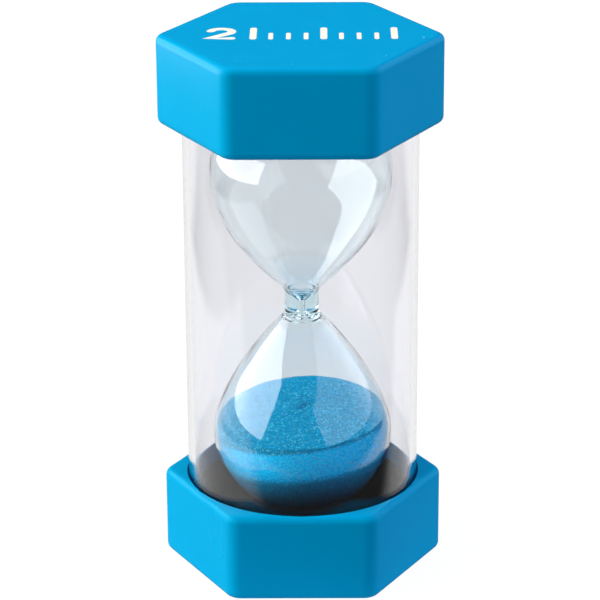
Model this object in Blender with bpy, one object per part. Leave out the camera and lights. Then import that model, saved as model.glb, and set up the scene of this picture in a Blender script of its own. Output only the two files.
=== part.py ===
"""Sand timer: a blown double bulb of coloured sand, held in a clear tube between two six-sided caps.

Metres, +Z up. The origin is the middle of the base cap's underside, and the caps' flats face -Y and +Y.
Everything but the sand, the fill plug and the bulb's mouth is the same above and below mid-height.
"""

import math

import bmesh
import bpy
from mathutils import Matrix, Vector

# Overall size
HEIGHT = 0.165
MID = HEIGHT / 2
GAP = 0.0003

# Six-sided caps
CAP_HEIGHT = 0.0271
ACROSS_FLATS = 0.0742
CORNER_RADIUS = 0.005
END_ROUND = 0.0022
RIM_ROUND = 0.0016
CAP_FLOOR = 0.003
BORE_RADIUS = 0.0354
LOCATOR_HEIGHT = 0.005
LOCATOR_WALL = 0.0021

# Clear tube and the bead of adhesive under each of its ends
TUBE_RADIUS = 0.035
TUBE_WALL = 0.002
BEAD_HEIGHT = 0.001

# Blown double bulb, with distances counted from the middle of its neck
BULB_RADIUS = 0.0271
BULB_CENTRE = 0.0415
BULB_WALL = 0.0013
NECK_RADIUS = 0.0051
NECK_HALF = 0.0026
NECK_FILLET = 0.0032
SHOULDER_LEAN = 0.009
SHOULDER_CROWN = 0.015
ORIFICE_RADIUS = 0.0009
ORIFICE_HALF = 0.0015
FUNNEL_FILLET = 0.006
FUNNEL_LEAN = 0.0103
MOUTH_RADIUS = 0.003
MOUTH_WALL = 0.0013
MOUTH_HEIGHT = 0.0015

# Plug in the bulb's filling mouth
PLUG_STEM = 0.0035
PLUG_HEAD = 0.0013

# Sand, all of it run down, with a low mound under the neck
SAND_EDGE = 0.046
SAND_PEAK = 0.0504
MOUND_SHAPE = 1.7

# Foam that beds the bulb in each cap
COLLAR_TOP = 0.0225
COLLAR_EYE = 0.009

# Fineness of the turned shapes
TUBE_STEPS = 72
BULB_STEPS = 36
CORNER_STEPS = 4
ROUND_STEPS = 3
ARC_STEPS = 6

BLUE = (0.0, 0.33, 0.73)
SAND_BLUE = (0.02, 0.36, 0.68)


def clear_scene():
    """Starts from an empty scene."""
    for thing in list(bpy.data.objects):
        bpy.data.objects.remove(thing, do_unlink=True)


def finish(name, colour, roughness, alpha=1.0, transmission=0.0):
    """A Principled material of one colour."""
    look = bpy.data.materials.new(name)
    look.use_nodes = True
    shader = look.node_tree.nodes["Principled BSDF"]
    shader.inputs["Base Color"].default_value = (*colour, 1.0)
    shader.inputs["Roughness"].default_value = roughness
    shader.inputs["Metallic"].default_value = 0.0
    shader.inputs["Alpha"].default_value = alpha
    shader.inputs["Transmission Weight"].default_value = transmission
    return look


def place(name, bm, look, parent=None, sharp_angle=35.0):
    """Turns a bmesh into a shaded object of its own."""
    bmesh.ops.recalc_face_normals(bm, faces=bm.faces)
    mesh = bpy.data.meshes.new(name)
    bm.to_mesh(mesh)
    bm.free()
    mesh.shade_smooth()
    mesh.set_sharp_from_angle(angle=math.radians(sharp_angle))
    mesh.materials.append(look)
    piece = bpy.data.objects.new(name, mesh)
    piece.parent = parent
    bpy.context.scene.collection.objects.link(piece)
    return piece


def spun(outline, steps):
    """Spins a half outline of (radius, height) points round Z. One that starts and ends on the axis is left open."""
    bm = bmesh.new()
    verts = [bm.verts.new((radius, 0.0, height)) for radius, height in outline]
    edges = [bm.edges.new(pair) for pair in zip(verts, verts[1:])]
    if outline[0][0] > 0.0 or outline[-1][0] > 0.0:
        edges.append(bm.edges.new((verts[-1], verts[0])))
    bmesh.ops.spin(
        bm,
        geom=verts + edges,
        cent=(0.0, 0.0, 0.0),
        axis=(0.0, 0.0, 1.0),
        angle=math.tau,
        steps=steps,
        use_merge=True,
    )
    bmesh.ops.remove_doubles(bm, verts=bm.verts, dist=1e-6)
    return bm


def arc(centre_height, radius, start, end, steps=ARC_STEPS):
    """Points on a circle about the axis, by angles in degrees up from level."""
    points = []
    for step in range(steps + 1):
        angle = math.radians(start + (end - start) * step / steps)
        points.append((radius * math.cos(angle), centre_height + radius * math.sin(angle)))
    return points


def bezier(p0, p1, p2, p3, steps=ARC_STEPS):
    """Points on one cubic curve, both ends included."""
    a, b, c, d = (Vector(p) for p in (p0, p1, p2, p3))
    points = []
    for step in range(steps + 1):
        t = step / steps
        u = 1.0 - t
        point = a * u**3 + b * 3 * u * u * t + c * 3 * u * t * t + d * t**3
        points.append((point.x, point.y))
    return points


def shoulder(throat, half, fillet, lean, radius):
    """One bulb wall from the neck's middle to the bulb's widest ring: straight, a 45 degree fillet, then a swell."""
    start = (throat + fillet * (1.0 - math.cos(math.pi / 4)), half + fillet * math.sin(math.pi / 4))
    points = [(throat, half)]
    middle = math.pi / 8
    points.append((throat + fillet * (1.0 - math.cos(middle)), half + fillet * math.sin(middle)))
    leaned = (start[0] + lean, start[1] + lean)
    crowned = (radius, BULB_CENTRE - SHOULDER_CROWN)
    return points + bezier(start, leaned, crowned, (radius, BULB_CENTRE))


def outer_shoulder():
    return shoulder(NECK_RADIUS, NECK_HALF, NECK_FILLET, SHOULDER_LEAN, BULB_RADIUS)


def inner_shoulder(inset=0.0):
    inside = BULB_RADIUS - BULB_WALL - inset
    return shoulder(ORIFICE_RADIUS, ORIFICE_HALF, FUNNEL_FILLET, FUNNEL_LEAN, inside)


def dome(radius, end_radius=0.0):
    """One bulb's round end, from its widest ring out to end_radius."""
    stop = 90.0 if end_radius == 0.0 else math.degrees(math.acos(end_radius / radius))
    points = arc(BULB_CENTRE, radius, 0.0, stop)
    points[-1] = (end_radius, points[-1][1])
    return points[1:]


def radius_at(points, height):
    """Where an outline crosses a level, between the two points either side of it."""
    for (radius_a, height_a), (radius_b, height_b) in zip(points, points[1:]):
        if min(height_a, height_b) <= height <= max(height_a, height_b):
            return radius_a + (radius_b - radius_a) * (height - height_a) / (height_b - height_a)
    raise ValueError("the outline does not reach that level")


def above(points):
    return [(radius, MID + far) for radius, far in points]


def below(points):
    return [(radius, MID - far) for radius, far in points]


def cap_body():
    """A solid six-sided block with rounded corners, a soft outer end at Z 0 and a crisper rim above."""
    bm = bmesh.new()
    corner = ACROSS_FLATS / 2 / math.cos(math.pi / 6)
    turn = Matrix.Rotation(math.pi / 2, 4, "Z")
    bmesh.ops.create_circle(bm, cap_ends=True, segments=6, radius=corner, matrix=turn)
    raised = bmesh.ops.extrude_face_region(bm, geom=bm.faces[:])
    lifted = [item for item in raised["geom"] if isinstance(item, bmesh.types.BMVert)]
    bmesh.ops.translate(bm, verts=lifted, vec=(0.0, 0.0, CAP_HEIGHT))
    bmesh.ops.recalc_face_normals(bm, faces=bm.faces)
    upright = [e for e in bm.edges if abs(e.verts[0].co.z - e.verts[1].co.z) > CAP_HEIGHT / 2]
    soften(bm, upright, CORNER_RADIUS * math.tan(math.pi / 6), CORNER_STEPS)
    soften(bm, level_edges(bm, 0.0), END_ROUND, ROUND_STEPS)
    soften(bm, level_edges(bm, CAP_HEIGHT), RIM_ROUND, ROUND_STEPS)
    return bm


def level_edges(bm, height):
    """The edges that lie in one level plane."""
    return [e for e in bm.edges if all(abs(v.co.z - height) < GAP / 10 for v in e.verts)]


def soften(bm, edges, width, steps):
    """Rounds some edges, width being how far the round reaches along each face."""
    bmesh.ops.bevel(
        bm,
        geom=edges,
        offset=width,
        offset_type="OFFSET",
        segments=steps,
        profile=0.5,
        affect="EDGES",
        clamp_overlap=True,
    )


def cap_recess():
    """What is cut from a cap: its bore, leaving a low ring on the floor that the tube's end slides over."""
    locator = TUBE_RADIUS - TUBE_WALL - GAP
    top = CAP_FLOOR + LOCATOR_HEIGHT
    return [
        (0.0, CAP_FLOOR),
        (locator - LOCATOR_WALL, CAP_FLOOR),
        (locator - LOCATOR_WALL, top),
        (locator, top),
        (locator, CAP_FLOOR),
        (BORE_RADIUS, CAP_FLOOR),
        (BORE_RADIUS, CAP_HEIGHT + CAP_FLOOR),
        (0.0, CAP_HEIGHT + CAP_FLOOR),
    ]


def cap(name, seat, look):
    """A cap on its seat empty: the six-sided block less its recess."""
    block = place(name, cap_body(), look, seat)
    cutter = place(f"{name}_recess", spun(cap_recess(), TUBE_STEPS), look, seat)
    cutter.hide_render = True
    cutter.display_type = "WIRE"
    cut = block.modifiers.new("Recess", "BOOLEAN")
    cut.operation = "DIFFERENCE"
    cut.solver = "EXACT"
    cut.object = cutter


def bead(name, seat, look):
    """The adhesive in the groove between the cap's locating ring and its bore."""
    low = CAP_FLOOR + GAP
    inner = TUBE_RADIUS - TUBE_WALL
    outline = [
        (inner, low),
        (TUBE_RADIUS, low),
        (TUBE_RADIUS, low + BEAD_HEIGHT),
        (inner, low + BEAD_HEIGHT),
    ]
    place(name, spun(outline, TUBE_STEPS), look, seat)


def cushion(name, seat, look, crown):
    """The foam disc under the bulb's end, as thick as the room that the end leaves."""
    radius = TUBE_RADIUS - TUBE_WALL - GAP - LOCATOR_WALL - GAP
    outline = [(0.0, CAP_FLOOR + GAP), (radius, CAP_FLOOR + GAP), (radius, crown), (0.0, crown)]
    place(name, spun(outline, BULB_STEPS), look, seat)


def collar(name, seat, look):
    """The foam ring that grips the bulb's end: flat outside, hollowed to the bulb's round inside."""
    centre = MID - BULB_CENTRE
    hollow = BULB_RADIUS + GAP
    low = centre - BULB_RADIUS
    start = -math.degrees(math.acos(COLLAR_EYE / hollow))
    end = -math.degrees(math.asin((centre - COLLAR_TOP) / hollow))
    outer = TUBE_RADIUS - TUBE_WALL - GAP
    outline = [(COLLAR_EYE, low), *arc(centre, hollow, start, end), (outer, COLLAR_TOP), (outer, low)]
    place(name, spun(outline, BULB_STEPS), look, seat)


def barrel(look):
    """The clear tube, from bead to bead."""
    low = CAP_FLOOR + GAP + BEAD_HEIGHT + GAP
    inner = TUBE_RADIUS - TUBE_WALL
    outline = [(inner, low), (TUBE_RADIUS, low), (TUBE_RADIUS, HEIGHT - low), (inner, HEIGHT - low)]
    place("barrel", spun(outline, TUBE_STEPS), look)


def mouth_top():
    """How far the filling mouth's lip is from the neck."""
    radius = MOUTH_RADIUS + MOUTH_WALL
    return BULB_CENTRE + math.sqrt(BULB_RADIUS**2 - radius**2) + MOUTH_HEIGHT


def glass(look):
    """The double bulb, blown in one piece, with a short filling mouth at its top."""
    inside = BULB_RADIUS - BULB_WALL
    lip = mouth_top()
    outline = [
        *below(reversed(outer_shoulder() + dome(BULB_RADIUS))),
        *above(outer_shoulder() + dome(BULB_RADIUS, MOUTH_RADIUS + MOUTH_WALL)),
        (MOUTH_RADIUS + MOUTH_WALL, MID + lip),
        (MOUTH_RADIUS, MID + lip),
        *above(reversed(inner_shoulder() + dome(inside, MOUTH_RADIUS))),
        *below(inner_shoulder() + dome(inside)),
    ]
    place("glass", spun(outline, BULB_STEPS), look)


def plug(look):
    """The stopper that closes the filling mouth: a stem in the mouth and a head on its lip."""
    lip = MID + mouth_top() + GAP
    stem = MOUTH_RADIUS - GAP
    head = MOUTH_RADIUS + MOUTH_WALL
    outline = [
        (0.0, lip - PLUG_STEM),
        (stem, lip - PLUG_STEM),
        (stem, lip),
        (head, lip),
        (head, lip + PLUG_HEAD),
        (0.0, lip + PLUG_HEAD),
    ]
    place("fill_plug", spun(outline, BULB_STEPS), look)
    return lip + PLUG_HEAD


def sand(look):
    """The sand at rest: the lower bulb's inside up to the sand's edge, then its low mound."""
    inside = BULB_RADIUS - BULB_WALL - GAP
    wall = below(inner_shoulder(GAP))
    swell = [point for point in wall if point[1] < SAND_EDGE]
    edge_radius = radius_at(wall, SAND_EDGE)
    rings = ARC_STEPS
    mound = []
    for ring in range(rings + 1):
        share = ring / rings
        height = SAND_PEAK - (SAND_PEAK - SAND_EDGE) * share**MOUND_SHAPE
        mound.append((edge_radius * share, height))
    outline = mound + swell + below(dome(inside))
    place("sand", spun(outline, BULB_STEPS), look, sharp_angle=50.0)


def seat(name, height, turned_over):
    """An empty in the middle of a cap's outer face."""
    empty = bpy.data.objects.new(name, None)
    empty.empty_display_size = CAP_HEIGHT
    empty.location = (0.0, 0.0, height)
    empty.rotation_euler = (math.pi if turned_over else 0.0, 0.0, 0.0)
    bpy.context.scene.collection.objects.link(empty)
    return empty


def main():
    clear_scene()
    blue = finish("cap_blue", BLUE, 0.42)
    clear = finish("tube_clear", (0.95, 0.96, 0.98), 0.05, alpha=0.25)
    blown = finish("bulb_glass", (0.93, 0.98, 0.98), 0.02, transmission=1.0)
    grains = finish("sand_blue", SAND_BLUE, 0.8)
    foam = finish("foam_black", (0.03, 0.03, 0.035), 0.95)
    adhesive = finish("adhesive", (0.85, 0.83, 0.78), 0.3)
    stopper = finish("plug_white", (0.8, 0.8, 0.78), 0.6)

    base_seat = seat("base_seat", 0.0, False)
    top_seat = seat("top_seat", HEIGHT, True)
    for end, where in (("base", base_seat), ("top", top_seat)):
        cap(f"{end}_cap", where, blue)
        bead(f"{end}_bead", where, adhesive)
        collar(f"{end}_collar", where, foam)
    barrel(clear)
    glass(blown)
    sand(grains)
    plug_end = plug(stopper)
    cushion("base_cushion", base_seat, foam, MID - BULB_CENTRE - BULB_RADIUS - GAP)
    cushion("top_cushion", top_seat, foam, HEIGHT - plug_end - GAP)


main()
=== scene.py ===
import math

import bmesh
import bpy
import numpy as np
from bpy.props import FloatProperty, FloatVectorProperty, IntProperty, PointerProperty
from mathutils import Matrix, Vector


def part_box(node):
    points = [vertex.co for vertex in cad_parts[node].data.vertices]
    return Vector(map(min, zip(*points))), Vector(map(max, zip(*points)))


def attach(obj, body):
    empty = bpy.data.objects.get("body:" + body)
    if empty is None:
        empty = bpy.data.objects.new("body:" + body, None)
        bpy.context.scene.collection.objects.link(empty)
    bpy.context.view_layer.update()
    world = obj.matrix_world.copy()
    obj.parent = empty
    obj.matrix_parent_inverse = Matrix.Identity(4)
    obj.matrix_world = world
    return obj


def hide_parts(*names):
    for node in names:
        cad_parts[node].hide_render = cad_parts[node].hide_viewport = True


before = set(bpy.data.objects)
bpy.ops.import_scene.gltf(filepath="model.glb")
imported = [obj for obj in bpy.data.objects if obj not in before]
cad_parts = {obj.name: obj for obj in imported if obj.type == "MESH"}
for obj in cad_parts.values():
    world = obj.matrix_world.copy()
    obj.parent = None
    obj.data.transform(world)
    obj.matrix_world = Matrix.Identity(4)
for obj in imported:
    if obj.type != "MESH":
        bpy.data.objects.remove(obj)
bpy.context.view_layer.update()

bl_info = {
    "name": "Six-Sided Sand Timer",
    "version": (1, 0, 0),
    "blender": (4, 5, 0),
    "location": "View3D > Sidebar > Sand Timer",
    "description": "Builds a sand timer with six-sided caps, a clear tube and a blown double bulb",
    "category": "Object",
}

MM = 0.001

# Places read from the fixed frame
BASE_LOW, BASE_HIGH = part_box("base_cap")
TOP_LOW, TOP_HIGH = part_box("top_cap")
TUBE_LOW, TUBE_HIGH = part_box("barrel")
GLASS_LOW, GLASS_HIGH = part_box("glass")
SAND_LOW, SAND_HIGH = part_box("sand")
HEIGHT = TOP_HIGH.z
MID = HEIGHT / 2
CAP_HEIGHT = BASE_HIGH.z
APOTHEM = (BASE_HIGH.y - BASE_LOW.y) / 2
TUBE_RADIUS = TUBE_HIGH.x
BULB_RADIUS = GLASS_HIGH.x

# Cap moulding; a corner's rounding follows from how far the frame's corners reach
CORNER_ROUND = (APOTHEM - BASE_HIGH.x * math.cos(math.pi / 6)) / (1.0 - math.cos(math.pi / 6))
CORNER_MIDDLE = (APOTHEM - CORNER_ROUND) / math.cos(math.pi / 6)
CORNER_STEPS = 12
FLAT_STEPS = 12
ROUND_STEPS = 10
RIM_SLOTS = 64
BORE_GAP = 0.4 * MM
BORE_BREAK = 0.15 * MM
CAP_FLOOR = 3.0 * MM
LOCATOR_HEIGHT = 5.0 * MM
LOCATOR_WALL = 2.1 * MM
PRINT_ROOM = 0.04 * MM
MARK_ASIDE = 0.6 * MM
QUARTERS = 4

# Clear tube
TUBE_WALL = 2.0 * MM
TUBE_STEPS = 192
TUBE_BREAK = 0.25 * MM

# Double bulb, counted from the middle of its neck. It is blown by hand, and its upper bulb is the fuller
# one. Each half has how far its shoulder leans out of the neck, how far its crown comes down, and how far
# its throat runs
BULB_CENTRE = 41.5 * MM
BULB_WALL = 0.8 * MM
NECK_RADIUS = 5.1 * MM
NECK_HALF = 2.6 * MM
NECK_FILLET = 3.0 * MM
UPPER_HALF = (10.0 * MM, 18.0 * MM, 0.4 * MM)
LOWER_HALF = (13.0 * MM, 10.0 * MM, 2.6 * MM)
THROAT_RADIUS = 0.9 * MM
THROAT_FILLET = 1.0 * MM
FUNNEL_TOP = 7.0 * MM
RING_PITCH = 0.9 * MM
RING_HEIGHT = 0.06 * MM
MOUTH_RADIUS = 3.0 * MM
MOUTH_WALL = 1.0 * MM
BULB_STEPS = 144
CURVE_STEPS = 36

# Sand
SAND_EDGE = 46.0 * MM
SAND_TOUCH = 0.06 * MM
SAND_STEPS = 300
SAND_RINGS = 80

# The sand's painted light and shade: how much the painted light band and the painted shade of the foot slope
# with X, where the band gives way to the foot, where the band is lightest and how far back it fades, and
# where the painted shade is darkest; then the factor of each, the tint of the pale grains, partly a painted
# glint, and how few they are
BAND_TILT = 0.11
BAND_FOOT = 34.5 * MM
BAND_FRONT = -24.0 * MM
BAND_DEPTH = 16.0 * MM
PAINTED_SHADE_DARKEST = 23.0 * MM
PAINTED_LIGHT_FACTOR = (1.95, 2.3, 2.25)
PAINTED_SHADE_FACTOR = (0.12, 0.13, 0.16)
PALE_GRAIN_AND_GLINT = (0.12, 0.72, 1.0)
PALE_FROM = 0.80

# Foam
COLLAR_GAP = 0.1 * MM
COLLAR_EYE = 9.0 * MM
COLLAR_SOFT = 0.9 * MM
DISC_SOFT = 0.8 * MM

FIT_GAP = 0.3 * MM


# ---------------------------------------------------------------- shared shapes


def place_piece(name, bm, look, node=None, sharp_angle=40.0):
    """Makes a shaded piece from a bmesh, lets it ride on the timer and stand for its frame node."""
    bmesh.ops.recalc_face_normals(bm, faces=bm.faces)
    mesh = bpy.data.meshes.new(name)
    bm.to_mesh(mesh)
    bm.free()
    mesh.shade_smooth()
    mesh.set_sharp_from_angle(angle=math.radians(sharp_angle))
    mesh.materials.append(look)
    piece = bpy.data.objects.new(name, mesh)
    bpy.context.scene.collection.objects.link(piece)
    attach(piece, "root")
    if node:
        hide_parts(node)
    return piece


def skin(rings, loop=False):
    """Joins rings of points into one closed skin. A ring of one point is a pole.

    A loop joins the last ring to the first."""
    bm = bmesh.new()
    made = [[bm.verts.new(point) for point in ring] for ring in rings]
    pairs = list(zip(made, made[1:]))
    if loop:
        pairs.append((made[-1], made[0]))
    for lower, upper in pairs:
        count = max(len(lower), len(upper))
        for i in range(count):
            j = (i + 1) % count
            corners = [lower[i % len(lower)], lower[j % len(lower)]]
            corners += [upper[j % len(upper)], upper[i % len(upper)]]
            bm.faces.new(list(dict.fromkeys(corners)))
    return bm


def turned_rings(outline, steps):
    """Rings of points round Z for a half outline of (radius, height) points."""
    turns = [(math.cos(math.tau * i / steps), math.sin(math.tau * i / steps)) for i in range(steps)]
    rings = []
    for radius, height in outline:
        if radius < 1e-7:
            rings.append([(0.0, 0.0, height)])
        else:
            rings.append([(radius * c, radius * s, height) for c, s in turns])
    return rings


def turned(outline, steps, loop=False):
    return skin(turned_rings(outline, steps), loop)


def arc(centre, radius, start, end, steps):
    """Points of a circle in the (radius, height) half plane, by angles in degrees."""
    angles = (math.radians(start + (end - start) * i / steps) for i in range(steps + 1))
    return [(centre[0] + radius * math.cos(a), centre[1] + radius * math.sin(a)) for a in angles]


def bezier(p0, p1, p2, p3, steps):
    """Points of one cubic curve in the half plane."""
    points = []
    for i in range(steps + 1):
        t = i / steps
        u = 1.0 - t
        parts = ((p0, u**3), (p1, 3 * u * u * t), (p2, 3 * u * t * t), (p3, t**3))
        points.append(tuple(sum(p[axis] * share for p, share in parts) for axis in (0, 1)))
    return points


def outer_shoulder(half):
    """A bulb's outer wall, from the neck's middle to the bulb's widest ring."""
    lean, crown, _ = half
    curve = arc((NECK_RADIUS + NECK_FILLET, NECK_HALF), NECK_FILLET, 180.0, 135.0, 8)
    start = curve[-1]
    leaned = (start[0] + lean * math.cos(math.pi / 4), start[1] + lean * math.sin(math.pi / 4))
    crowned = (BULB_RADIUS, BULB_CENTRE - crown)
    widest = (BULB_RADIUS, BULB_CENTRE)
    return [(NECK_RADIUS, 0.0)] + curve[:-1] + bezier(start, leaned, crowned, widest, CURVE_STEPS)


def drawn_in(points, wall):
    """The line that runs inside a bulb's outer wall at an even distance."""
    line = []
    for i, (radius, far) in enumerate(points):
        before, after = points[max(0, i - 1)], points[min(len(points) - 1, i + 1)]
        along = Vector((after[0] - before[0], after[1] - before[1])).normalized()
        line.append((radius - along.y * wall, far + along.x * wall))
    return line


def inner_shoulder(half, inset=0.0):
    """A bulb's inner wall, from the throat's middle through its funnel to the widest ring."""
    throat = half[2]
    wall = drawn_in(outer_shoulder(half), BULB_WALL + inset)
    wall[-1] = (BULB_RADIUS - BULB_WALL - inset, BULB_CENTRE)
    upper = [point for point in wall if point[1] > FUNNEL_TOP]
    lip = arc((THROAT_RADIUS + THROAT_FILLET, throat), THROAT_FILLET, 180.0, 130.0, 5)
    end = upper[0]
    pull = 0.3 * (end[0] - lip[-1][0])
    bend = bezier(lip[-1], (lip[-1][0] + pull, lip[-1][1] + pull), (end[0] - pull, end[1] - pull), end, 40)
    rippled = []
    for radius, far in bend:
        fade = math.sin(math.pi * min(1.0, max(0.0, (far - throat) / (FUNNEL_TOP - throat)))) ** 2
        wave = RING_HEIGHT * fade * math.sin(math.tau * far / RING_PITCH)
        rippled.append((radius - wave, far + wave))
    return [(THROAT_RADIUS, 0.0)] + lip[:-1] + rippled[:-1] + upper


def dome(radius, end_radius=0.0):
    """One bulb's round end, from just past its widest ring to end_radius."""
    stop = 90.0 if end_radius == 0.0 else math.degrees(math.acos(end_radius / radius))
    points = arc((0.0, BULB_CENTRE), radius, 0.0, stop, CURVE_STEPS)
    points[-1] = (end_radius, points[-1][1])
    return points[1:]


def above(points):
    return [(radius, MID + far) for radius, far in points]


def below(points):
    return [(radius, MID - far) for radius, far in points]


# ---------------------------------------------------------------- shader wiring


class Wire:
    """One node output. Sums and products of wires and numbers add Math nodes."""

    def __init__(self, board, socket):
        self.board = board
        self.socket = socket

    def _maths(self, operation, *values):
        return self.board.node("ShaderNodeMath", {"operation": operation}, dict(enumerate(values)))

    def __add__(self, other):
        return self._maths("ADD", self, other)

    def __sub__(self, other):
        return self._maths("SUBTRACT", self, other)

    def __rsub__(self, other):
        return self._maths("SUBTRACT", other, self)

    def __mul__(self, other):
        return self._maths("MULTIPLY", self, other)

    def __gt__(self, other):
        return self._maths("GREATER_THAN", self, other)

    def __lt__(self, other):
        return self._maths("LESS_THAN", self, other)

    def larger(self, other):
        return self._maths("MAXIMUM", self, other)

    __radd__ = __add__
    __rmul__ = __mul__


class Board:
    """The node tree of one material or world."""

    def __init__(self, tree):
        self.tree = tree
        tree.nodes.clear()

    def node(self, kind, settings=None, values=None, output=0):
        """Adds a node, sets its settings, then its sockets by name or number, and returns one output."""
        made = self.tree.nodes.new(kind)
        for name, setting in (settings or {}).items():
            setattr(made, name, setting)
        for name, value in (values or {}).items():
            socket = made.inputs[name]
            if isinstance(value, Wire):
                self.tree.links.new(value.socket, socket)
            else:
                socket.default_value = value
        return Wire(self, made.outputs[output])

    def place(self):
        """Where a point is on the piece, in metres."""
        return self.node("ShaderNodeTexCoord", output="Object")

    def noise(self, scale, detail=2.0, roughness=0.5, where=None):
        values = {"Vector": where or self.place(), "Scale": scale, "Detail": detail, "Roughness": roughness}
        return self.node("ShaderNodeTexNoise", {}, values, "Fac")

    def cells(self, scale, output, where):
        values = {"Vector": where, "Scale": scale}
        return self.node("ShaderNodeTexVoronoi", {"feature": "F1"}, values, output)

    def stretch(self, value, low, high, to_low=0.0, to_high=1.0):
        """Maps a range of values onto another, held at both ends."""
        values = {"Value": value, "From Min": low, "From Max": high, "To Min": to_low, "To Max": to_high}
        return self.node("ShaderNodeMapRange", {"clamp": True}, values)

    def colour(self, share, first, second, blend="MIX"):
        values = {0: share, 6: solid(first), 7: solid(second)}
        return self.node("ShaderNodeMix", {"data_type": "RGBA", "blend_type": blend}, values, 2)

    def bump(self, height, strength, distance):
        values = {"Height": height, "Strength": strength, "Distance": distance}
        return self.node("ShaderNodeBump", {}, values, "Normal")

    def principled(self, values):
        return self.node("ShaderNodeBsdfPrincipled", {}, values, "BSDF")

    def finish(self, surface, kind="ShaderNodeOutputMaterial", volume=None):
        output = self.tree.nodes.new(kind)
        self.tree.links.new(surface.socket, output.inputs["Surface"])
        if volume:
            self.tree.links.new(volume.socket, output.inputs["Volume"])


def solid(value):
    """A colour with its alpha, or a wire as it is."""
    return value if isinstance(value, Wire) else (*value[:3], 1.0)


def new_look(name):
    look = bpy.data.materials.new(name)
    look.use_nodes = True
    return look, Board(look.node_tree)


def scaled(colour, factor):
    return tuple(min(1.0, channel * factor) for channel in colour[:3])


def dust_mask(board, spacing, size):
    """Sparse specks of lint, about one to each cell of the spacing, in about a third of the cells."""
    where = board.place()
    near = board.cells(1.0 / spacing, "Distance", where)
    chosen = board.cells(1.0 / spacing, "Color", where)
    red = board.node("ShaderNodeSeparateColor", {}, {"Color": chosen}, "Red")
    return (near < size / spacing) * (red > 0.66)


def cap_look(colour):
    """Moulded plastic: a satin skin with faint mottling, a fine grain and a little lint."""
    look, board = new_look("satin_blue_plastic")
    mottle = board.noise(55.0, 3.0)
    grain = board.noise(1400.0, 2.0)
    peel = board.noise(260.0, 2.0)
    shade = board.colour(mottle, scaled(colour, 0.965), scaled(colour, 1.035))
    specks = dust_mask(board, 13.0 * MM, 0.26 * MM)
    tint = board.colour(specks * 0.55, shade, (0.75, 0.88, 0.93))
    rough = board.stretch(mottle, 0.3, 0.7, 0.20, 0.28)
    relief = peel * 0.8 + grain * 0.2
    shader = board.principled({
        "Base Color": tint,
        "Roughness": rough + specks * 0.4,
        "Specular IOR Level": 0.07,
        "Specular Tint": (0.05, 0.6, 1.0, 1.0),
        "Normal": board.bump(relief, 0.05, 0.03 * MM),
    })
    board.finish(shader)
    return look


def clear_look(name, tint, ior, wave_scale, wave_height, depth_tint, depth):
    """A clear polished wall that lets lamps through, with the slight waves of a drawn or blown surface.

    Light that goes deep through it takes on the depth tint."""
    look, board = new_look(name)
    waves = board.noise(wave_scale, 1.0)
    wall = board.principled({
        "Base Color": (*tint, 1.0),
        "Roughness": 0.0,
        "IOR": ior,
        "Transmission Weight": 1.0,
        "Normal": board.bump(waves, 1.0, wave_height),
    })
    hole = board.node("ShaderNodeBsdfTransparent", {}, {"Color": (*tint, 1.0)})
    lamp = board.node("ShaderNodeLightPath", output="Is Shadow Ray")
    scatter = board.node("ShaderNodeLightPath", output="Is Diffuse Ray")
    deep = board.node("ShaderNodeVolumeAbsorption", {}, {"Color": (*depth_tint, 1.0), "Density": depth})
    mixed = board.node("ShaderNodeMixShader", {}, {0: lamp.larger(scatter), 1: wall, 2: hole})
    board.finish(mixed, volume=deep)
    return look


def sand_look(colour, grain):
    """Dyed quartz sand: each grain a shade of its own, and some pale ones that glint, whose pale colour is
    partly a painted glint.

    A painted light band makes it lighter where its upper edge lies against the front of the glass, and
    painted shade makes it darker down in the foam."""
    look, board = new_look("dyed_sand_painted_light_and_shade")
    where = board.place()
    own = board.cells(1.0 / grain, "Color", where)
    shades = board.node("ShaderNodeSeparateColor", {}, {"Color": own}, "Red")
    glints = board.node("ShaderNodeSeparateColor", {}, {"Color": own}, "Green")
    across, along, height = (
        board.node("ShaderNodeSeparateXYZ", {}, {"Vector": where}, axis) for axis in ("X", "Y", "Z")
    )
    height = height - across * BAND_TILT
    shade = board.colour(shades, scaled(colour, 0.72), scaled(colour, 1.25))
    # Painted light: a lighter band along the sand's upper edge at the front of the glass, sloping with X.
    front = board.stretch(along, BAND_FRONT, BAND_FRONT + BAND_DEPTH, 1.0, 0.0)
    edge = board.stretch(height, SAND_EDGE - 3.2 * MM, SAND_EDGE - 2.2 * MM, 1.0, 0.0)
    edge = edge * board.stretch(height, BAND_FOOT - 1.6 * MM, BAND_FOOT + 0.8 * MM)
    shade = board.colour(edge * front, shade, board.colour(1.0, shade, PAINTED_LIGHT_FACTOR, "MULTIPLY"))
    # Painted shade: darker towards the bottom, down in the foam, where the foam and the base cap shade it.
    deep = board.stretch(height, PAINTED_SHADE_DARKEST, BAND_FOOT + 2.0 * MM, 1.0, 0.0)
    shade = board.colour(deep, shade, board.colour(1.0, shade, PAINTED_SHADE_FACTOR, "MULTIPLY"))
    # The pale grains are partly painted glints, so they are left out down in the painted shade.
    above_foot = board.stretch(height, BAND_FOOT - 2.0 * MM, BAND_FOOT + 0.5 * MM)
    tint = board.colour(board.stretch(glints, PALE_FROM, 1.0) * above_foot, shade, PALE_GRAIN_AND_GLINT)
    core = board.cells(1.0 / grain, "Distance", where)
    relief = (1.0 - core) * 0.7 + board.noise(0.1 / grain, 2.0, where=where) * 0.6
    shader = board.principled({
        "Base Color": tint,
        "Roughness": board.stretch(glints, PALE_FROM, 1.0, 0.8, 0.35),
        "Specular IOR Level": 0.03,
        "Specular Tint": (0.2, 0.7, 1.0, 1.0),
        "Normal": board.bump(relief, 0.6, 0.3 * grain),
    })
    board.finish(shader)
    return look


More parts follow.
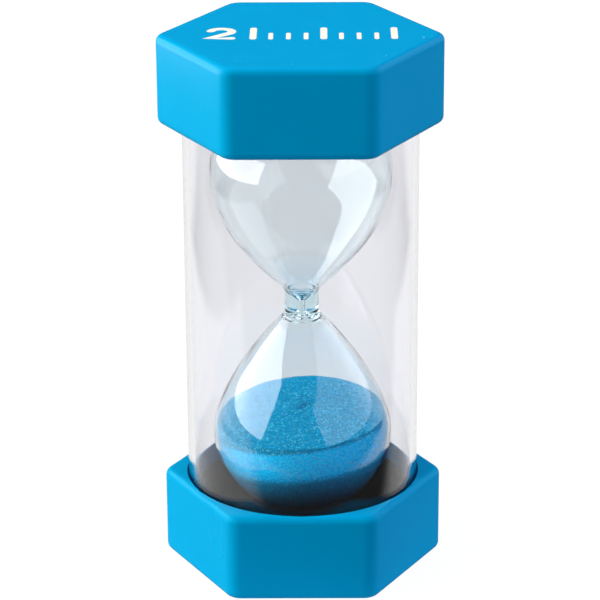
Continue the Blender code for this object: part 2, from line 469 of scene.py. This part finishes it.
def foam_look(colour):
    """Black closed-cell foam: small pores, and a dusty bloom."""
    look, board = new_look("black_foam")
    where = board.place()
    pores = board.cells(1700.0, "Distance", where)
    bloom = board.noise(120.0, 4.0, 0.6, where)
    tint = board.colour(bloom, scaled(colour, 0.7), scaled(colour, 1.4))
    specks = dust_mask(board, 6.0 * MM, 0.16 * MM)
    shader = board.principled({
        "Base Color": board.colour(specks * 0.6, tint, (0.45, 0.46, 0.48)),
        "Roughness": board.stretch(pores, 0.0, 0.8, 0.6, 0.95),
        "Specular IOR Level": 0.0,
        "Normal": board.bump(pores, 0.5, 0.12 * MM),
    })
    board.finish(shader)
    return look


def print_look(colour):
    """White pad-printed ink, a little uneven where the pad lifted."""
    look, board = new_look("white_print")
    patch = board.noise(420.0, 4.0, 0.6)
    tint = board.colour(board.stretch(patch, 0.3, 0.7), scaled(colour, 0.95), colour)
    shader = board.principled({
        "Base Color": tint,
        "Roughness": board.stretch(patch, 0.3, 0.7, 0.35, 0.55),
        "Normal": board.bump(patch, 0.2, 0.02 * MM),
    })
    board.finish(shader)
    return look


def cast_look(name, colour, scale, rough_low, rough_high):
    """A small poured or moulded piece: clouded colour and an uneven skin."""
    look, board = new_look(name)
    cloud = board.noise(scale, 3.0)
    shader = board.principled({
        "Base Color": board.colour(cloud, scaled(colour, 0.9), scaled(colour, 1.06)),
        "Roughness": board.stretch(cloud, 0.3, 0.7, rough_low, rough_high),
        "Normal": board.bump(cloud, 0.4, 0.1 * MM),
    })
    board.finish(shader)
    return look


# ---------------------------------------------------------------- caps


def hexagon_ring(inset):
    """The cap's plan: a hexagon with rounded corners on +-X, drawn in by inset."""
    round_left = CORNER_ROUND - inset
    corners = []
    for side in range(6):
        turn = math.tau * side / 6
        centre = CORNER_MIDDLE * Vector((math.cos(turn), math.sin(turn)))
        fan = []
        for step in range(CORNER_STEPS + 1):
            angle = turn + math.radians(-30.0 + 60.0 * step / CORNER_STEPS)
            fan.append(centre + round_left * Vector((math.cos(angle), math.sin(angle))))
        corners.append(fan)
    points = []
    for side in range(6):
        points += corners[side]
        start, end = corners[side][-1], corners[(side + 1) % 6][0]
        for step in range(1, FLAT_STEPS):
            share = 0.5 - 0.5 * math.cos(math.pi * step / FLAT_STEPS)
            points.append(start.lerp(end, share))
    return points


def inset_of(point):
    """How far inside the cap's rounded hexagon a point of the plan lies."""
    turn = round(math.atan2(point.y, point.x) / (math.tau / 6)) * math.tau / 6
    centre = CORNER_MIDDLE * Vector((math.cos(turn), math.sin(turn)))
    away = point - centre
    lean = math.atan2(away.y, away.x) - turn
    lean = (lean + math.pi) % math.tau - math.pi
    if abs(lean) <= math.pi / 6:
        return CORNER_ROUND - away.length
    face = turn + math.copysign(math.pi / 6, lean)
    return APOTHEM - point.dot(Vector((math.cos(face), math.sin(face))))


def rim_drop(inset, rounding):
    """How far the rounded rim lies below the cap's flat at that inset."""
    if inset >= rounding:
        return 0.0
    return rounding - math.sqrt(max(0.0, rounding**2 - (rounding - max(inset, 0.0)) ** 2))


def level(points, height):
    return [(p.x, p.y, height) for p in points]


def cap_rings(rounding, end_face):
    """A cap's skin, from the middle of its outer end over its sides and rim, then down its bore."""
    bore = TUBE_RADIUS + BORE_GAP
    edge = hexagon_ring(rounding)
    rings = [[(0.0, 0.0, end_face)]]
    rings += [level([p * share for p in edge], end_face) for share in (0.3, 0.6, 0.85, 0.97)]
    for step in range(ROUND_STEPS + 1):
        angle = math.pi / 2 * step / ROUND_STEPS
        drawn = rounding * (1.0 - math.sin(angle))
        rings.append(level(hexagon_ring(drawn), end_face + (rounding - end_face) * (1.0 - math.cos(angle))))
    wall = CAP_HEIGHT - 2 * rounding
    plain = hexagon_ring(0.0)
    rings += [level(plain, rounding + wall * share) for share in (0.02, 0.2, 0.5, 0.8, 0.98)]
    reach = []
    for point in plain:
        mouth = point.normalized() * (bore + BORE_BREAK)
        reach.append(min(rounding, 0.9 * inset_of(mouth)))
    slots = [hexagon_ring(rounding * i / RIM_SLOTS) for i in range(RIM_SLOTS + 1)]
    last = None
    for step in range(ROUND_STEPS + 1):
        share = 1.0 - math.cos(math.pi / 2 * step / ROUND_STEPS)
        ring = []
        for i, most in enumerate(reach):
            inset = most * share
            slot = min(RIM_SLOTS, inset / rounding * RIM_SLOTS)
            low = int(min(RIM_SLOTS - 1, slot))
            point = slots[low][i].lerp(slots[low + 1][i], slot - low)
            ring.append(Vector((point.x, point.y, CAP_HEIGHT - rim_drop(inset, rounding))))
        rings.append([tuple(p) for p in ring])
        last = ring
    mouth = []
    for point in last:
        flat = Vector((point.x, point.y)).normalized() * (bore + BORE_BREAK)
        mouth.append(Vector((flat.x, flat.y, CAP_HEIGHT - rim_drop(inset_of(flat), rounding))))
    rings += [[tuple(a.lerp(b, share)) for a, b in zip(last, mouth)] for share in (0.5, 1.0)]
    turns = [Vector((p.x, p.y)).normalized() for p in mouth]
    broken = [(t.x * bore, t.y * bore, p.z - BORE_BREAK) for t, p in zip(turns, mouth)]
    rings.append(broken)
    locator = TUBE_RADIUS - TUBE_WALL - FIT_GAP
    inner = locator - LOCATOR_WALL
    top = CAP_FLOOR + LOCATOR_HEIGHT
    soft = 2 * BORE_BREAK
    inside = [
        (bore, CAP_HEIGHT - 4 * BORE_BREAK),
        (bore, CAP_FLOOR + soft),
        (bore - soft, CAP_FLOOR),
        (locator, CAP_FLOOR),
        (locator, top - soft),
        (locator - soft, top),
        (inner + soft, top),
        (inner, top - soft),
        (inner, CAP_FLOOR),
        (inner / 2, CAP_FLOOR),
    ]
    rings += [[(t.x * radius, t.y * radius, height) for t in turns] for radius, height in inside]
    rings.append([(0.0, 0.0, CAP_FLOOR)])
    return rings


def turned_over(rings):
    """The same rings with the cap upside down at the timer's top."""
    return [[(x, -y, HEIGHT - z) for x, y, z in ring] for ring in rings]


class TIMER_OT_caps(bpy.types.Operator):
    """Add the two six-sided caps"""

    bl_idname = "sand_timer.caps"
    bl_label = "Caps"

    def execute(self, context):
        sizes, colours = context.scene.timer_sizes, context.scene.timer_colours
        look = cap_look(colours.cap)
        base = cap_rings(sizes.cap_round, 0.0)
        top = turned_over(cap_rings(sizes.cap_round, PRINT_ROOM))
        place_piece("base_cap_moulding", skin(base), look, "base_cap")
        place_piece("top_cap_moulding", skin(top), look, "top_cap")
        return {"FINISHED"}


# ---------------------------------------------------------------- printed marking


def stroke(bm, path, width, low, high):
    """A raised stroke of even width along a path in the plan, with round ends."""
    points = [Vector(p) for p in path]
    half = width / 2
    left, right = [], []
    for i, point in enumerate(points):
        before = points[max(0, i - 1)]
        after = points[min(len(points) - 1, i + 1)]
        along = (after - before).normalized()
        side = Vector((-along.y, along.x))
        into = (point - before).normalized() if i else along
        turn = max(0.5, side.dot(Vector((-into.y, into.x))))
        left.append(point + side * half / turn)
        right.append(point - side * half / turn)
    outline = right + end_fan(points[-1], points[-1] - points[-2], half)
    outline += left[::-1] + end_fan(points[0], points[0] - points[1], half)
    bottom = [bm.verts.new((p.x, p.y, low)) for p in outline]
    top = [bm.verts.new((p.x, p.y, high)) for p in outline]
    count = len(outline)
    for i in range(count):
        j = (i + 1) % count
        bm.faces.new((bottom[i], bottom[j], top[j], top[i]))
    bm.faces.new(top)
    bm.faces.new(bottom[::-1])


def end_fan(point, along, half):
    """The points of a round stroke end, from its right side to its left."""
    heading = math.atan2(along.y, along.x)
    turns = (heading + math.radians(angle) for angle in (-60, -30, 0, 30, 60))
    return [point + half * Vector((math.cos(a), math.sin(a))) for a in turns]


def numeral_two(width, height):
    """The middle line of a plain 2 in one path, with its lower left corner at the origin."""
    bowl = height * 0.29
    path = []
    for step in range(15):
        angle = math.radians(165.0 - 200.0 * step / 14)
        path.append((width / 2 * (1.0 + math.cos(angle)), height - bowl * (1.0 - math.sin(angle))))
    return path + [(0.0, 0.0), (width, 0.0)]


class TIMER_OT_marking(bpy.types.Operator):
    """Print a 2 and a scale of quarter minutes on the top cap"""

    bl_idname = "sand_timer.marking"
    bl_label = "Marking"

    def execute(self, context):
        sizes, colours = context.scene.timer_sizes, context.scene.timer_colours
        high = HEIGHT
        low = HEIGHT - PRINT_ROOM
        tall = sizes.mark_height
        left = -sizes.mark_width / 2 + MARK_ASIDE
        foot = -tall / 2
        weight = sizes.mark_weight
        bm = bmesh.new()
        wide = tall * 0.5
        two = [(left + weight / 2 + x, foot + weight / 2 + y) for x, y in numeral_two(wide, tall - weight)]
        stroke(bm, two, weight, low, high)
        first = left + wide + 3.0 * weight
        pitch = (sizes.mark_width / 2 + MARK_ASIDE - weight / 2 - first) / (sizes.mark_ticks - 1)
        for tick in range(sizes.mark_ticks):
            x = first + pitch * tick
            whole = tick % QUARTERS == 0
            top = foot + tall * (1.0 if whole else 0.55)
            thick = weight * (0.8 if whole else 0.55)
            stroke(bm, [(x, foot + thick / 2), (x, top - thick / 2)], thick, low, high)
        place_piece("duration_marking", bm, print_look(colours.print), sharp_angle=30.0)
        return {"FINISHED"}


# ---------------------------------------------------------------- tube and bulb


class TIMER_OT_tube(bpy.types.Operator):
    """Add the clear tube"""

    bl_idname = "sand_timer.tube"
    bl_label = "Tube"

    def execute(self, context):
        inner = TUBE_RADIUS - TUBE_WALL
        low, high = TUBE_LOW.z, TUBE_HIGH.z
        b = TUBE_BREAK
        outline = [(TUBE_RADIUS - b, low), (TUBE_RADIUS, low + b)]
        outline += [(TUBE_RADIUS, low + (high - low) * share) for share in (0.02, 0.25, 0.5, 0.75, 0.98)]
        outline += [(TUBE_RADIUS, high - b), (TUBE_RADIUS - b, high), (inner + b, high), (inner, high - b)]
        outline += [(inner, low + (high - low) * share) for share in (0.98, 0.75, 0.5, 0.25, 0.02)]
        outline += [(inner, low + b), (inner + b, low)]
        tint = context.scene.timer_colours.tube
        look = clear_look("clear_tube", tint, 1.49, 12.0, 0.005 * MM, (0.6, 0.6, 0.7), 5.0)
        place_piece("clear_tube", turned(outline, TUBE_STEPS, loop=True), look, "barrel")
        return {"FINISHED"}


class TIMER_OT_bulb(bpy.types.Operator):
    """Add the blown double bulb"""

    bl_idname = "sand_timer.bulb"
    bl_label = "Double bulb"

    def execute(self, context):
        inside = BULB_RADIUS - BULB_WALL
        outer_lip = MOUTH_RADIUS + MOUTH_WALL
        lip = GLASS_HIGH.z
        soft = 0.3 * MM
        outline = below(reversed(outer_shoulder(LOWER_HALF) + dome(BULB_RADIUS)))
        outline += above((outer_shoulder(UPPER_HALF) + dome(BULB_RADIUS, outer_lip))[1:])
        outline += [(outer_lip, lip - soft), (outer_lip - soft, lip)]
        outline += [(MOUTH_RADIUS + soft, lip), (MOUTH_RADIUS, lip - soft)]
        outline += above(reversed(inner_shoulder(UPPER_HALF) + dome(inside, MOUTH_RADIUS)))
        outline += below((inner_shoulder(LOWER_HALF) + dome(inside))[1:])
        tint = context.scene.timer_colours.glass
        look = clear_look("blown_glass", tint, 1.5, 90.0, 0.12 * MM, (0.0, 0.75, 0.86), 30.0)
        place_piece("blown_double_bulb", turned(outline, BULB_STEPS), look, "glass", 60.0)
        return {"FINISHED"}


# ---------------------------------------------------------------- sand


def wall_radius(height):
    """The bulb's inside radius at a height in its lower half, less the room to touch."""
    wall = below(inner_shoulder(LOWER_HALF, SAND_TOUCH) + dome(BULB_RADIUS - BULB_WALL - SAND_TOUCH))
    heights = np.array([point[1] for point in wall])[::-1]
    radii = np.array([point[0] for point in wall])[::-1]
    return np.interp(height, heights, radii)


def ripple(x, y, phases, scale):
    """A smooth uneven field of a few crossing waves, between about -1 and 1."""
    total = np.zeros_like(x)
    for i, (heading, phase) in enumerate(phases):
        along = x * math.cos(heading) + y * math.sin(heading)
        total += np.sin(along * (1.0 + 0.37 * i) / scale + phase)
    return total / len(phases)


class TIMER_OT_sand(bpy.types.Operator):
    """Add the sand, run down into the lower bulb"""

    bl_idname = "sand_timer.sand"
    bl_label = "Sand"

    def execute(self, context):
        sizes, colours = context.scene.timer_sizes, context.scene.timer_colours
        chance = np.random.default_rng(7)
        waves = list(zip(chance.uniform(0, math.tau, 7), chance.uniform(0, math.tau, 7)))
        turn = np.arange(SAND_STEPS) / SAND_STEPS * math.tau
        cos, sin = np.cos(turn), np.sin(turn)
        lean = sizes.sand_lean
        edge_height = SAND_EDGE + wall_radius(SAND_EDGE) * (lean[0] * cos + lean[1] * sin)
        edge_height = edge_height + 0.25 * MM * ripple(cos * 25 * MM, sin * 25 * MM, waves, 2.2 * MM)
        edge_radius = wall_radius(edge_height)
        rings = [[(0.0, 0.0, 0.0)]]
        for share in np.linspace(0.0, 1.0, SAND_RINGS)[1:]:
            x, y = edge_radius * cos * share, edge_radius * sin * share
            crown = (1.0 - share**1.7) * sizes.mound_height
            height = SAND_EDGE + (edge_height - SAND_EDGE) * share + crown
            height = height + 0.12 * MM * ripple(x, y, waves, 1.3 * MM) * (1 - share**8)
            height = height + chance.normal(0.0, 0.04 * MM, SAND_STEPS) * (1 - share**30)
            rings.append(list(zip(x, y, height)))
        rings[0] = [(0.0, 0.0, float(np.mean([p[2] for p in rings[1]])))]
        bottom = MID - BULB_CENTRE - (BULB_RADIUS - BULB_WALL - SAND_TOUCH)
        for share in np.linspace(0.0, 1.0, SAND_RINGS)[1:-1]:
            height = edge_height + (bottom - edge_height) * (1.0 - math.cos(share * math.pi / 2)) ** 0.62
            radius = wall_radius(height) - np.abs(chance.normal(0.0, 0.03 * MM, SAND_STEPS))
            rings.append(list(zip(radius * cos, radius * sin, height)))
        rings.append([(0.0, 0.0, bottom)])
        look = sand_look(colours.sand, sizes.grain)
        place_piece("sand_heap", skin(rings), look, "sand", 80.0)
        return {"FINISHED"}


# ---------------------------------------------------------------- foam and fixings


def foam_collar_rings():
    """The collar as seen from the base cap: flat, with soft edges, hollowed to the bulb."""
    low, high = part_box("base_collar")
    centre = MID - BULB_CENTRE
    hollow = BULB_RADIUS + COLLAR_GAP
    eye, outer = COLLAR_EYE, high.x
    soft = COLLAR_SOFT
    start = -math.degrees(math.acos(eye / hollow))
    end = -math.degrees(math.asin((centre - high.z + soft * 0.4) / hollow))
    outline = [(eye, low.z)] + arc((0.0, centre), hollow, start, end, 14)
    lip = outline[-1]
    edge = [(lip[0] + reach, high.z) for reach in (0.3 * MM, soft, 2 * soft)]
    outline += bezier(lip, *edge, 5)[1:]
    outline += [(lip[0] + (outer - lip[0]) * share, high.z) for share in (0.35, 0.5, 0.65, 0.8)]
    outline += arc((outer - soft, high.z - soft), soft, 90.0, 0.0, 6)
    outline += [(outer, (low.z + high.z) / 2), (outer, low.z)]
    outline += [(outer + (eye - outer) * share, low.z) for share in (0.3, 0.6)]
    return turned_rings(outline, 120)


def foam_disc_rings(node):
    """A plain foam disc with soft edges, as tall as its frame node."""
    low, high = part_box(node)
    soft = DISC_SOFT
    radius = high.x
    outline = [(0.0, low.z), (radius / 2, low.z)]
    outline += arc((radius - soft, low.z + soft), soft, -90.0, 0.0, 5)
    outline += arc((radius - soft, high.z - soft), soft, 0.0, 90.0, 5)
    outline += [(radius / 2, high.z), (0.0, high.z)]
    return turned_rings(outline, 96)


class TIMER_OT_foam(bpy.types.Operator):
    """Add the foam collars and discs that bed the bulb in the caps"""

    bl_idname = "sand_timer.foam"
    bl_label = "Foam"

    def execute(self, context):
        look = foam_look(context.scene.timer_colours.foam)
        collar = foam_collar_rings()
        for end, rings in (("base", collar), ("top", turned_over(collar))):
            ring = skin(rings, loop=True)
            place_piece(f"{end}_foam_collar", ring, look, f"{end}_collar")
        for end in ("base", "top"):
            node = f"{end}_cushion"
            disc = skin(foam_disc_rings(node))
            place_piece(f"{end}_foam_disc", disc, look, node)
        return {"FINISHED"}


class TIMER_OT_fixings(bpy.types.Operator):
    """Add the filling plug and the adhesive under the tube's ends"""

    bl_idname = "sand_timer.fixings"
    bl_label = "Plug and adhesive"

    def execute(self, context):
        low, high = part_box("fill_plug")
        soft = 0.35 * MM
        stem = MOUTH_RADIUS - FIT_GAP
        neck = GLASS_HIGH.z + FIT_GAP
        outline = [(0.0, low.z), (stem - soft, low.z), (stem, low.z + soft), (stem, neck)]
        outline += arc((high.x - soft, neck + soft), soft, -90.0, 0.0, 4)
        outline += arc((high.x - soft, high.z - soft), soft, 0.0, 90.0, 4)
        outline += [(0.0, high.z)]
        plug = cast_look("white_stopper", (0.78, 0.78, 0.76), 500.0, 0.45, 0.65)
        place_piece("filling_stopper", turned(outline, 48), plug, "fill_plug")
        glue = cast_look("set_adhesive", (0.80, 0.78, 0.72), 260.0, 0.15, 0.35)
        for end in ("base", "top"):
            node = f"{end}_bead"
            low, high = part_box(node)
            half = (high.z - low.z) / 2
            inner = TUBE_RADIUS - TUBE_WALL
            outline = arc((high.x - half, low.z + half), half, -90.0, 90.0, 8)
            outline += arc((inner + half, low.z + half), half, 90.0, 270.0, 8)
            place_piece(f"{end}_adhesive_bead", turned(outline, 120, loop=True), glue, node)
        return {"FINISHED"}


# ---------------------------------------------------------------- stage


# How bright the studio stands to each kind of ray: straight or through clear walls, in a sharp mirror, in
# a soft gloss and off a matt. The table, turned a little, and the backdrop's foot are brighter than the room
# in front and at the sides, except to a straight look
CLEAR_LEVEL = 1.04
TABLE_MIRRORED = 0.97
ROOM_MIRRORED = 0.03
GLOSS_LEVEL = 0.02
TABLE_SCATTERED = 0.65
ROOM_SCATTERED = 0.27
PAPER_GLOW = 0.92
TABLE_HALF_WIDTH = 235.0 * MM
TABLE_FRONT = -45.0 * MM
TABLE_SLANT = 0.4
TABLE_FADE = 20.0 * MM
BACKDROP_FROM = 170.0 * MM
BACKDROP_FADE = 60.0 * MM

# Each lamp's name, heading, lift, distance, width, height, radiance, colour and whether it shows in
# mirrors; the others light the matt surfaces
SOFTBOXES = (
    ("left_softbox", -89.0, 23.0, 0.27, 0.45, 0.23, 5.6, (1.0, 1.0, 1.0), True),
    ("right_softbox", 82.0, 29.0, 1.5, 4.0, 1.4, 1.3, (1.0, 1.0, 1.0), True),
    ("left_fill", -85.0, 27.0, 1.2, 1.2, 1.2, 5.6, (1.0, 1.0, 0.76), False),
    ("right_fill", 90.0, 30.0, 1.2, 1.2, 1.2, 1.7, (1.0, 1.0, 1.0), False),
    ("overhead_fill", 180.0, 72.0, 1.5, 1.3, 1.3, 1.0, (1.0, 1.0, 1.0), False),
)


def studio_level(board, mirrored, scattered):
    """How bright the studio is for a ray, by what it met on its way."""
    glossy = board.node("ShaderNodeLightPath", output="Glossy Depth") > 0.5
    matt = board.node("ShaderNodeLightPath", output="Diffuse Depth") > 0.5
    sharp = board.node("ShaderNodeLightPath", output="Is Singular Ray")
    off_gloss = GLOSS_LEVEL + sharp * (mirrored - GLOSS_LEVEL)
    unscattered = CLEAR_LEVEL + glossy * (off_gloss - CLEAR_LEVEL)
    return unscattered + matt * (scattered - unscattered)


def paper_look():
    """White studio paper that glows evenly, with a matt share that takes soft shadows."""
    look, board = new_look("studio_paper")
    paper = board.noise(9.0, 2.0)
    across = board.node("ShaderNodeSeparateXYZ", {}, {"Vector": board.place()}, "X")
    along = board.node("ShaderNodeSeparateXYZ", {}, {"Vector": board.place()}, "Y")
    aside = board.node("ShaderNodeMath", {"operation": "ABSOLUTE"}, {0: across})
    table = board.stretch(aside, TABLE_HALF_WIDTH, TABLE_HALF_WIDTH + TABLE_FADE, 1.0, 0.0)
    table = table * board.stretch(along - across * TABLE_SLANT, TABLE_FRONT - TABLE_FADE, TABLE_FRONT)
    table = table.larger(board.stretch(along, BACKDROP_FROM, BACKDROP_FROM + BACKDROP_FADE))
    mirrored = ROOM_MIRRORED + table * (TABLE_MIRRORED - ROOM_MIRRORED)
    scattered = ROOM_SCATTERED + table * (TABLE_SCATTERED - ROOM_SCATTERED)
    matt = board.principled({
        "Base Color": board.colour(paper, (0.80, 0.80, 0.805), (0.82, 0.82, 0.825)),
        "Roughness": 0.9,
        "Specular IOR Level": 0.0,
    })
    strength = studio_level(board, mirrored, scattered)
    glow = board.node("ShaderNodeEmission", {}, {"Strength": strength})
    board.finish(board.node("ShaderNodeMixShader", {}, {0: PAPER_GLOW, 1: matt, 2: glow}))
    return look


def softbox(name, heading, lift, distance, width, tall, radiance, colour, mirrored):
    """A rectangular lamp aimed at the timer's middle. Its heading is counted from the front to the right."""
    lamp = bpy.data.lights.new(name, "AREA")
    lamp.shape = "RECTANGLE"
    lamp.size = width
    lamp.size_y = tall
    lamp.color = colour
    lamp.energy = radiance * math.pi * width * tall
    if mirrored:
        lamp.use_nodes = True
        board = Board(lamp.node_tree)
        met_mirror = board.node("ShaderNodeLightPath", output="Glossy Depth") > 0.5
        glow = board.node("ShaderNodeEmission", {}, {"Color": (1.0, 1.0, 1.0, 1.0), "Strength": met_mirror})
        board.finish(glow, "ShaderNodeOutputLight")
    thing = bpy.data.objects.new(name, lamp)
    turn, rise = math.radians(heading), math.radians(lift)
    away = Vector((math.sin(turn) * math.cos(rise), -math.cos(turn) * math.cos(rise), math.sin(rise)))
    spot = Matrix.Translation(Vector((0.0, 0.0, MID)) + away * distance)
    thing.matrix_world = spot @ away.to_track_quat("Z", "Y").to_matrix().to_4x4()
    thing.visible_camera = False
    thing.visible_glossy = mirrored
    thing.visible_transmission = mirrored
    thing.visible_diffuse = not mirrored
    bpy.context.scene.collection.objects.link(thing)


class TIMER_OT_stage(bpy.types.Operator):
    """Add the floor, the soft lights and the camera"""

    bl_idname = "sand_timer.stage"
    bl_label = "Stage"

    def execute(self, context):
        scene = context.scene
        floor = skin([level(ring, 0.0) for ring in floor_rings()])
        mesh = bpy.data.meshes.new("studio_floor")
        floor.to_mesh(mesh)
        floor.free()
        mesh.materials.append(paper_look())
        ground = bpy.data.objects.new("studio_floor", mesh)
        scene.collection.objects.link(ground)

        scene.world = bpy.data.worlds.new("studio_air")
        scene.world.use_nodes = True
        board = Board(scene.world.node_tree)
        ahead = board.node("ShaderNodeTexCoord", output="Generated")
        behind = board.node("ShaderNodeSeparateXYZ", {}, {"Vector": ahead}, "Y")
        mirrored = board.stretch(behind, -0.1, 0.5, ROOM_MIRRORED, TABLE_MIRRORED)
        strength = studio_level(board, mirrored, ROOM_SCATTERED)
        glow = board.node("ShaderNodeBackground", {}, {"Color": (1.0, 1.0, 1.0, 1.0), "Strength": strength})
        board.finish(glow, "ShaderNodeOutputWorld")

        for lamp in SOFTBOXES:
            softbox(*lamp)

        camera = bpy.data.cameras.new("product_camera")
        camera.lens = scene.timer_sizes.camera_lens
        camera.sensor_width = 36.0
        eye = bpy.data.objects.new("product_camera", camera)
        sizes = scene.timer_sizes
        around, aim = math.radians(sizes.camera_azimuth), math.radians(sizes.camera_heading)
        away = sizes.camera_distance
        spot = (math.sin(around) * away, -math.cos(around) * away, sizes.camera_height)
        tilt = Matrix.Rotation(math.radians(90.0 - sizes.camera_pitch), 4, "X")
        roll = Matrix.Rotation(math.radians(-sizes.camera_roll), 4, "Z")
        eye.matrix_world = Matrix.Translation(spot) @ Matrix.Rotation(aim, 4, "Z") @ tilt @ roll
        scene.collection.objects.link(eye)
        scene.camera = eye
        scene.view_settings.view_transform = "Standard"
        return {"FINISHED"}


def floor_rings():
    """Plan rings of a wide round floor, finer under the timer."""
    turns = [math.tau * i / 96 for i in range(96)]
    rings = [[Vector((0.0, 0.0))]]
    for radius in (0.1, 0.4, 1.2, 3.0, 6.0):
        rings.append([Vector((math.cos(a), math.sin(a))) * radius for a in turns])
    return rings


# ---------------------------------------------------------------- settings, panel and main


class TimerSizes(bpy.types.PropertyGroup):
    """Sizes that a user would change"""

    cap_round: FloatProperty(
        name="Cap rounding", description="Radius of the caps' soft edges", default=2.2 * MM, unit="LENGTH"
    )
    mark_width: FloatProperty(
        name="Marking width", description="Width of the printed marking", default=56.0 * MM, unit="LENGTH"
    )
    mark_height: FloatProperty(
        name="Marking height", description="Height of the printed 2", default=12.6 * MM, unit="LENGTH"
    )
    mark_weight: FloatProperty(
        name="Marking weight", description="Width of the printed strokes", default=2.5 * MM, unit="LENGTH"
    )
    mark_ticks: IntProperty(
        name="Ticks", description="Quarter-minute ticks in the printed scale", default=9, min=2
    )
    grain: FloatProperty(
        name="Grain", description="Size of one grain of sand", default=0.40 * MM, unit="LENGTH"
    )
    mound_height: FloatProperty(
        name="Mound height", description="Rise of the sand's middle above its edge", default=1.8 * MM,
        unit="LENGTH",
    )
    sand_lean: FloatVectorProperty(
        name="Sand lean", description="Rise of the sand towards +X and +Y, per unit of length",
        size=2, default=(0.055, 0.05),
    )
    camera_distance: FloatProperty(
        name="Camera distance", description="Level distance from the timer's axis", default=0.7953,
        unit="LENGTH",
    )
    camera_height: FloatProperty(
        name="Camera height", description="Height above the floor", default=0.3859, unit="LENGTH"
    )
    camera_pitch: FloatProperty(name="Camera pitch", description="Degrees below level", default=20.907)
    camera_azimuth: FloatProperty(
        name="Camera azimuth", description="Degrees round from the front", default=0.462
    )
    camera_heading: FloatProperty(
        name="Camera heading", description="Degrees that it is turned", default=0.498
    )
    camera_roll: FloatProperty(name="Camera roll", description="Degrees of clockwise roll", default=0.349)
    camera_lens: FloatProperty(name="Lens", description="Focal length in millimetres", default=169.8)


class TimerColours(bpy.types.PropertyGroup):
    """Colours that a user would change"""

    cap: FloatVectorProperty(
        name="Cap", description="Moulded plastic", subtype="COLOR", size=3, default=(0.0, 0.325, 0.71)
    )
    print: FloatVectorProperty(
        name="Print", description="Printed marking", subtype="COLOR", size=3, default=(0.93, 0.93, 0.92)
    )
    sand: FloatVectorProperty(
        name="Sand", description="Dyed sand", subtype="COLOR", size=3, default=(0.0, 0.35, 0.72)
    )
    foam: FloatVectorProperty(
        name="Foam", description="Black foam", subtype="COLOR", size=3, default=(0.008, 0.008, 0.010)
    )
    tube: FloatVectorProperty(
        name="Tube", description="Clear plastic", subtype="COLOR", size=3, default=(0.925, 0.927, 0.955)
    )
    glass: FloatVectorProperty(
        name="Glass", description="Blown glass", subtype="COLOR", size=3, default=(0.965, 0.988, 0.99)
    )


class TIMER_PT_panel(bpy.types.Panel):
    """Lists the timer's pieces and settings"""

    bl_idname = "TIMER_PT_panel"
    bl_label = "Sand Timer"
    bl_space_type = "VIEW_3D"
    bl_region_type = "UI"
    bl_category = "Sand Timer"

    def draw(self, context):
        column = self.layout.column()
        for step in STEPS:
            column.operator(step.bl_idname)
        for group in (context.scene.timer_sizes, context.scene.timer_colours):
            for name in group.__annotations__:
                column.prop(group, name)


STEPS = (
    TIMER_OT_caps,
    TIMER_OT_marking,
    TIMER_OT_tube,
    TIMER_OT_bulb,
    TIMER_OT_sand,
    TIMER_OT_foam,
    TIMER_OT_fixings,
    TIMER_OT_stage,
)
CLASSES = (TimerSizes, TimerColours, *STEPS, TIMER_PT_panel)


def register():
    for item in CLASSES:
        bpy.utils.register_class(item)
    bpy.types.Scene.timer_sizes = PointerProperty(type=TimerSizes)
    bpy.types.Scene.timer_colours = PointerProperty(type=TimerColours)


def unregister():
    del bpy.types.Scene.timer_colours
    del bpy.types.Scene.timer_sizes
    for item in reversed(CLASSES):
        bpy.utils.unregister_class(item)


def main():
    """Registers the timer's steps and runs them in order."""
    register()
    bpy.ops.sand_timer.caps()
    bpy.ops.sand_timer.marking()
    bpy.ops.sand_timer.tube()
    bpy.ops.sand_timer.bulb()
    bpy.ops.sand_timer.sand()
    bpy.ops.sand_timer.foam()
    bpy.ops.sand_timer.fixings()
    bpy.ops.sand_timer.stage()


if __name__ == "__main__":
    main()
